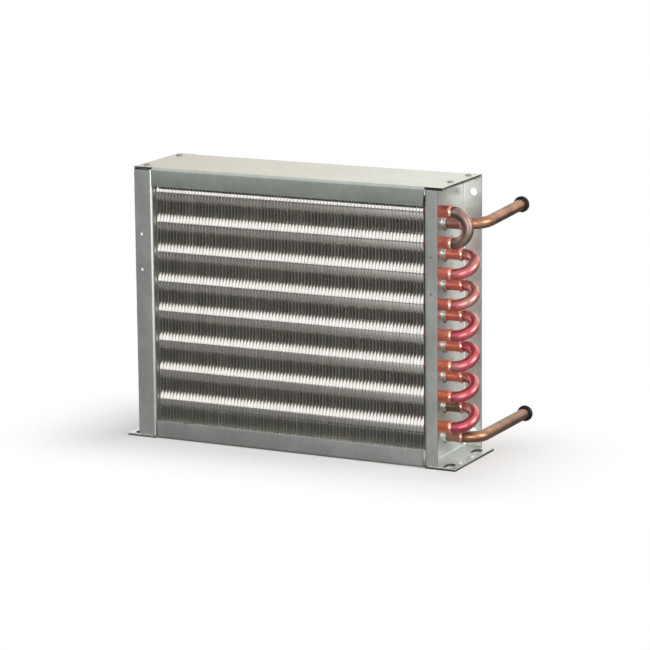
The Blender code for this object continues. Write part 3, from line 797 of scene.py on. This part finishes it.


# Brazed joints. Copper-phosphorus alloy drawn into each belled end; a fillet of it climbs from the
# bell's rim to the tube, pale partly in the alloy's own colour and partly as painted highlight.

BRAZE_INSIDE = 4.7 * MM
fillet_start = front_axis - right * 0.3 * MM
braze = start_ring("braze_fillets", BRAZE_INSIDE, fillet_start, right, TUBE_SIDES)
draw_rings(
    fillet_start,
    right,
    BRAZE_INSIDE,
    [
        (0.0, 5.4 * MM),
        (0.4 * MM, 5.5 * MM),
        (0.3 * MM, 5.35 * MM),
        (0.5 * MM, 5.0 * MM),
        (0.5 * MM, 4.8 * MM),
        (0.0, BRAZE_INSIDE),
        (-1.7 * MM, BRAZE_INSIDE),
    ],
)
close_shape(braze)
braze = repeat_at_tubes(braze, "fillet")
braze_and_highlight_tones = ((0.30, "#a87868"), (0.45, "#d8ab98"), (0.7, "#ecc9b8"))
braze_alloy_and_highlight = clouded_material(
    "braze_alloy_and_highlight", 260.0, 4.0, *braze_and_highlight_tones, Metallic=0.9, Roughness=0.28
)
place_piece(braze, braze_alloy_and_highlight, "brown_copper")


# Inlet and outlet. Two lengths of the same tube, bent once to the back and left open for the
# installer; the inlet rises slightly, the outlet lies level.

PIPE_LEAD = 0.5 * MM
PIPE_BORE = 3.95 * MM
INLET_BEND, OUTLET_BEND = 17 * MM, 14 * MM
INLET_END, OUTLET_END = 80 * MM, 96 * MM  # along Y
INLET_RISE = math.radians(2.9)


def pipe(name, axis, bend, rise, end_y):
    """Models a pipe; returns it with its end and the direction that it points in."""
    start = axis - right * BEND_SEAT
    piece = start_ring(name, BEND_TUBE, start, right, TUBE_SIDES, True)
    draw_rings(start, right, BEND_TUBE, [(BEND_SEAT + PIPE_LEAD, BEND_TUBE)])
    way = Vector((0, math.cos(rise), math.sin(rise)))
    pivot = axis + right * PIPE_LEAD + way * bend
    bpy.ops.mesh.spin(steps=14, angle=-math.pi / 2, center=pivot, axis=right.cross(way))
    turned = pivot + right * bend
    run = (end_y - turned.y) / way.y
    steps = [(run, BEND_TUBE), (0.0, PIPE_BORE), (-12 * MM, PIPE_BORE)]
    draw_rings(turned, way, BEND_TUBE, steps)
    bpy.ops.mesh.edge_face_add()
    close_shape(piece)
    return piece, turned + way * run, way


inlet, inlet_end, inlet_way = pipe("inlet_tube", back_axis, INLET_BEND, INLET_RISE, INLET_END)
outlet, outlet_end, outlet_way = pipe(
    "outlet_tube", back_axis + down * (TUBES - 1), OUTLET_BEND, 0.0, OUTLET_END
)
place_piece(inlet, brown_copper, "brown_copper", "inlet_pipe")
place_piece(outlet, brown_copper, "brown_copper", "outlet_pipe")


# Plugs. Moulded black rubber, pushed into the pipe ends to keep dirt out until the coil is fitted.

PLUG_HEAD = 6.7 * MM
PLUG_STEM = 3.9 * MM
STEM_LENGTH = 8 * MM
rubber_tones = ((0.35, "#14130d"), (0.7, "#29271e"))
black_rubber = clouded_material(
    "moulded_rubber", 300.0, 4.0, *rubber_tones, Roughness=0.6, Specular_IOR_Level=0.25
)


def plug(name, end, way, node):
    start = end - way * STEM_LENGTH
    piece = start_ring(name, PLUG_STEM, start, way, TUBE_SIDES, True)
    draw_rings(
        start,
        way,
        PLUG_STEM,
        [
            (STEM_LENGTH + 0.3 * MM, PLUG_STEM),
            (0.0, PLUG_HEAD - 0.9 * MM),
            (0.3 * MM, PLUG_HEAD - 0.3 * MM),
            (0.6 * MM, PLUG_HEAD),
            (2.0 * MM, PLUG_HEAD),
            (0.7 * MM, PLUG_HEAD - 0.4 * MM),
            (0.5 * MM, PLUG_HEAD - 1.2 * MM),
            (0.1 * MM, PLUG_HEAD - 2.2 * MM),
        ],
    )
    bpy.ops.mesh.edge_face_add()
    close_shape(piece)
    place_piece(piece, black_rubber, "black_rubber", node)


plug("inlet_stopper", inlet_end, inlet_way, "inlet_plug")
plug("outlet_stopper", outlet_end, outlet_way, "outlet_plug")


# Rivets. Pulled aluminium-steel rivets with a low domed head and a hollow where the mandrel broke.
# Four hold the lid; four go through the feet.

SHANK_RADIUS = 1.6 * MM
SHANK_LENGTH = 2.3 * MM
TOP_RIVET_X = 134.7 * MM
TOP_RIVET_BACK_Y = 27 * MM
FOOT_RIVET_X = 146.1 * MM
FOOT_RIVETS_Y = (-18 * MM, 6 * MM)
FOOT_FACE = FOOT_LEVEL + MID
up = Vector((0, 0, 1))

# The feet's rivets in a light copy of the rivets' zinc: painted highlight
highlit_rivet_tones = ((0.35, "#cfcfca"), (0.65, "#f0f0ec"))
rivet_zinc = clouded_material(
    "rivet_zinc_painted_highlight", 900.0, 3.0, *highlit_rivet_tones, Metallic=0.6, Roughness=0.35
)
# The lid's rivets in a dark grey copy of the same zinc: painted shade
shaded_rivet_tones = ((0.35, "#9a978e"), (0.65, "#b6b3a9"))
shaded_rivet_zinc = clouded_material("rivet_zinc_painted_shade", 900.0, 3.0, *shaded_rivet_tones, Metallic=0.5, Roughness=0.55)

rivets = []
for word, side, top_front_y in (("left", -1, -29 * MM), ("right", 1, -9 * MM)):
    for level, finish, x, front_and_back, face in (
        ("top", shaded_rivet_zinc, TOP_RIVET_X, (top_front_y, TOP_RIVET_BACK_Y), LID_FACE),
        ("foot", rivet_zinc, FOOT_RIVET_X, FOOT_RIVETS_Y, FOOT_FACE),
    ):
        for end, y in zip(("front", "back"), front_and_back):
            rivets.append((f"{level}_rivet_{word}_{end}", finish, (side * x, y, face)))
rivet_start = up * -SHANK_LENGTH
rivet = start_ring("rivet_head", SHANK_RADIUS, rivet_start, up, 20, True)
draw_rings(
    rivet_start,
    up,
    SHANK_RADIUS,
    [
        (SHANK_LENGTH, SHANK_RADIUS),
        (0.0, 2.9 * MM),
        (0.35 * MM, 2.95 * MM),
        (0.35 * MM, 2.6 * MM),
        (0.3 * MM, 1.9 * MM),
        (0.1 * MM, 1.2 * MM),
        (-0.1 * MM, 1.0 * MM),
        (-0.8 * MM, 0.9 * MM),
    ],
)
bpy.ops.mesh.edge_face_add()
close_shape(rivet)
for node, finish, spot in rivets:
    piece = copy_piece(rivet, node.replace("rivet", "rivet_head"), spot)
    place_piece(piece, finish, "rivet_zinc", node)
bpy.data.objects.remove(rivet, do_unlink=True)


# Studio. A pale floor whose reflections carry painted light, a broad soft lamp above and behind,
# one to the right and one in front, and the camera at the photograph's place.

bpy.ops.object.select_all(action="DESELECT")
bpy.ops.mesh.primitive_circle_add(vertices=96, radius=30, fill_type="NGON", location=(0, 0, 0))
floor = bpy.context.object
floor.name = "studio_floor"

# Pale paper. To the eye it fades past the coil's shadow into the white of the background. As the
# metal mirrors it, it is painted darker away from the coil, with one glowing pool of painted light,
# and is white far off.
# Where the glowing pool of painted light lies, seen only in the metal
PAINTED_LIGHT_POOL = (0.85, -0.55, 0)
pale_floor, tree, shader, place = start_material("pale_studio_floor", Roughness=0.9)
away = vector_math(tree, "LENGTH", place)["Value"]
ray = add_node(tree, "ShaderNodeLightPath").outputs
# Painted shade in reflections: the floor the metal sees darkens away from the coil
mirrored_tone = map_range(tree, away, 0.15, 0.8, 0.29, 0.10)
lit_tone = blend(tree, ray["Is Glossy Ray"], "#bfbfbf", mirrored_tone)
feed(shader, Base_Color=blend(tree, ray["Is Camera Ray"], lit_tone, "#f7f7f7"))
folded = vector_math(tree, "ABSOLUTE", place)["Vector"]
beyond = vector_math(tree, "SUBTRACT", folded, (FOOT_END, BACK, 0))["Vector"]
beyond = vector_math(tree, "MAXIMUM", beyond)["Vector"]
clear = vector_math(tree, "LENGTH", beyond)["Value"]
from_painted_pool = vector_math(tree, "DISTANCE", place, PAINTED_LIGHT_POOL)["Value"]
glowing = 0.0
for kind, distance, near_edge, far_edge in (
    ("Is Camera Ray", clear, -0.08, 0.12),
    ("Is Glossy Ray", away, 3.0, 6.0),
    # The pool of painted light, glowing for reflections only
    ("Is Glossy Ray", from_painted_pool, 0.95, 0.55),
):
    fade = map_range(tree, distance, near_edge, far_edge, fade="SMOOTHSTEP")
    share = combine(tree, "MULTIPLY", fade, ray[kind])
    glowing = combine(tree, "MAXIMUM", share, glowing)
glow = add_node(tree, "ShaderNodeEmission", {"Color": (1, 1, 1, 1), "Strength": 1.0})
mix = add_node(
    tree,
    "ShaderNodeMixShader",
    {0: glowing, 1: shader.outputs["BSDF"], 2: glow.outputs["Emission"]},
)
feed(tree.nodes["Material Output"], Surface=mix.outputs["Shader"])
floor.data.materials.append(pale_floor)

# The air is white to the eye and in the metal, and lights the coil only faintly
world = bpy.data.worlds.new("studio_air")
bpy.context.scene.world = world
world.use_nodes = True
tree = world.node_tree
ray = add_node(tree, "ShaderNodeLightPath").outputs
seen = combine(tree, "MAXIMUM", ray["Is Camera Ray"], ray["Is Glossy Ray"])
seen = combine(tree, "MAXIMUM", seen, ray["Is Transmission Ray"])
background = tree.nodes["Background"]
background.inputs["Color"].default_value = (1, 1, 1, 1)
feed(background, Strength=map_range(tree, seen, 0.0, 1.0, 0.35, 1.0))


def soft_lamp(name, place, target, size, watts, tint):
    data = bpy.data.lights.new(name, "AREA")
    data.size = size
    data.energy = watts
    data.color = linear(tint)[:3]
    lamp = bpy.data.objects.new(name, data)
    bpy.context.scene.collection.objects.link(lamp)
    lamp.location = place
    lamp.rotation_euler = (Vector(target) - Vector(place)).to_track_quat("-Z", "Y").to_euler()


soft_lamp("back_lamp", (0.35, 1.1, 0.7), (0, 0, 0.2), 0.9, 2, "#fff0dc")
soft_lamp("right_lamp", (1.8, 0.1, 0.75), (0, 0, 0.12), 1.0, 18, "#fffbf5")
soft_lamp("front_lamp", (1.25, -1.8, 0.5), (0.1, 0, 0.12), 1.3, 18, "#ffffff")

# The camera as fitted to the casing's corners and the tube ends in the photograph
AZIMUTH, ELEVATION, ROLL = (math.radians(a) for a in (26.57, 11.83, -0.50))
TARGET = Vector((0.01558, 0.001, 0.10228))
DISTANCE = 2.709
FOCAL_LENGTH_PX, PICTURE_WIDTH_PX = 3253, 650
SENSOR_WIDTH = 36.0
across = Vector((math.cos(AZIMUTH), math.sin(AZIMUTH), 0))
backward = Vector(
    (
        math.sin(AZIMUTH) * math.cos(ELEVATION),
        -math.cos(AZIMUTH) * math.cos(ELEVATION),
        math.sin(ELEVATION),
    )
)
upward = backward.cross(across)
tilted_across = across * math.cos(ROLL) + upward * math.sin(ROLL)
tilted_up = upward * math.cos(ROLL) - across * math.sin(ROLL)
camera_data = bpy.data.cameras.new("photo_camera")
camera_data.sensor_width = SENSOR_WIDTH
camera_data.lens = FOCAL_LENGTH_PX / PICTURE_WIDTH_PX * SENSOR_WIDTH
camera = bpy.data.objects.new("photo_camera", camera_data)
bpy.context.scene.collection.objects.link(camera)
camera.matrix_world = Matrix.Translation(TARGET + backward * DISTANCE) @ Matrix(
    (tilted_across, tilted_up, backward)
).transposed().to_4x4()
bpy.context.scene.camera = camera

bpy.context.scene.view_settings.view_transform = "Standard"
